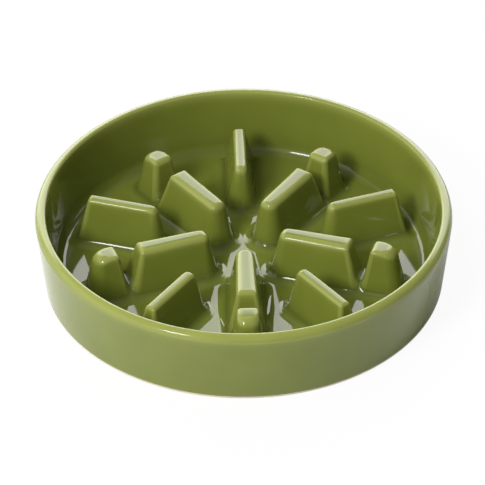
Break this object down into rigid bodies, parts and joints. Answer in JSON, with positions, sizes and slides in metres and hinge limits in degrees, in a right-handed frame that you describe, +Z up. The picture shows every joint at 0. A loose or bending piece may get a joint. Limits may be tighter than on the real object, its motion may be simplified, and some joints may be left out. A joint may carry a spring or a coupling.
{
  "type": "slow feeder bowl",
  "caption": "Low round glazed ceramic pet bowl with radial ridges and pegs on its floor that spread food out and slow down eating.",
  "frame": {"origin": "centre of the foot ring, on the surface that the bowl stands on", "axes": "+Z up out of the bowl's mouth, -Y toward the first inner ridge and its peg, +X to their right as seen from the front"},
  "size_m": [0.216, 0.216, 0.042],
  "materials": {
    "glaze": "glossy olive green glaze, thinner and lighter where it runs over edges",
    "bare_clay": "matte unglazed stoneware"
  },
  "bodies": {
    "root": {"bowl_wall": "glaze", "bowl_floor": "glaze", "foot_ring": "bare_clay", "inner_ridge_1": "glaze", "inner_ridge_2": "glaze", "inner_ridge_3": "glaze", "inner_ridge_4": "glaze", "inner_ridge_5": "glaze", "outer_ridge_1": "glaze", "outer_ridge_2": "glaze", "outer_ridge_3": "glaze", "outer_ridge_4": "glaze", "outer_ridge_5": "glaze", "peg_1": "glaze", "peg_2": "glaze", "peg_3": "glaze", "peg_4": "glaze", "peg_5": "glaze"}
  },
  "joints": []
}
